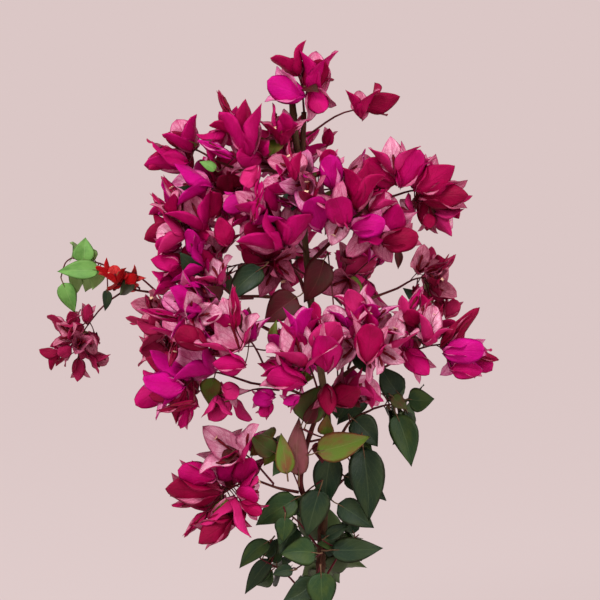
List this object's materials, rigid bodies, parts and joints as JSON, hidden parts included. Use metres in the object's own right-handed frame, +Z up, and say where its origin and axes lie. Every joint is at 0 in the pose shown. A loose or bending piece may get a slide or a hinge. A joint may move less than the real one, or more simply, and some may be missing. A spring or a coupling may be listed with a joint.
{
  "type": "bougainvillea",
  "caption": "Young rooted bougainvillea with an upright leafy stem, side boughs and dense masses of papery magenta bracts above dark green leaves.",
  "frame": {"origin": "centre of the flat cut under the main stem, at ground level", "axes": "+Z up along the main stem, +X to the right and -Y to the front of the plant as pictured"},
  "size_m": [0.4624, 0.304, 0.6509],
  "materials": {
    "bark": "matt, finely furrowed brown bark",
    "magenta_bracts": "papery with a soft sheen",
    "crimson_bracts": "papery with a soft sheen",
    "rose_bracts": "papery, pale with darker veins",
    "dull_bracts": "papery, dull",
    "red_bracts": "papery, matt",
    "green_leaves": "satin",
    "bronze_leaves": "satin",
    "light_leaves": "satin"
  },
  "bodies": {
    "root": {"main_stem": "bark", "front_stem": "bark", "bough_low_left": "bark", "bough_mid_left": "bark", "bough_left": "bark", "bough_far_left": "bark", "bough_up_left": "bark", "bough_top_left": "bark", "bough_right_up": "bark", "bough_right_back": "bark", "bough_leaf_right": "bark", "bough_back_high": "bark", "bough_back_mid": "bark", "top": "magenta_bracts", "top_right": "magenta_bracts", "upper_mid": "magenta_bracts", "upper_left": "magenta_bracts", "upper_left_tip": "crimson_bracts", "left_high": "magenta_bracts", "left_mid": "magenta_bracts", "left_front": "magenta_bracts", "left_front_large": "magenta_bracts", "left_low": "magenta_bracts", "left_low_inner": "rose_bracts", "left_back": "dull_bracts", "centre_left": "magenta_bracts", "centre_high": "magenta_bracts", "centre_right": "magenta_bracts", "inner_left": "crimson_bracts", "inner_right": "dull_bracts", "right_high": "magenta_bracts", "right_tip": "crimson_bracts", "right_mid": "magenta_bracts", "right_back": "dull_bracts", "centre_front": "magenta_bracts", "right_front": "rose_bracts", "right_low_inner": "magenta_bracts", "right_low": "magenta_bracts", "right_low_tip": "magenta_bracts", "low_left_high": "rose_bracts", "low_left": "magenta_bracts", "far_left_red": "red_bracts", "far_left": "dull_bracts", "back_top": "magenta_bracts", "back_left_high": "magenta_bracts", "back_right_high": "magenta_bracts", "back_left_low": "magenta_bracts", "back_mid": "rose_bracts", "back_right_low": "magenta_bracts", "back_low": "magenta_bracts", "leaves_right": "green_leaves", "leaves_right_mid": "green_leaves", "leaves_front_left": "bronze_leaves", "leaves_front": "bronze_leaves", "leaves_left": "green_leaves", "leaves_low_left": "green_leaves", "leaves_low_right": "green_leaves", "leaves_foot": "green_leaves", "leaves_back": "green_leaves", "far_left_leaves": "light_leaves"}
  },
  "joints": []
}
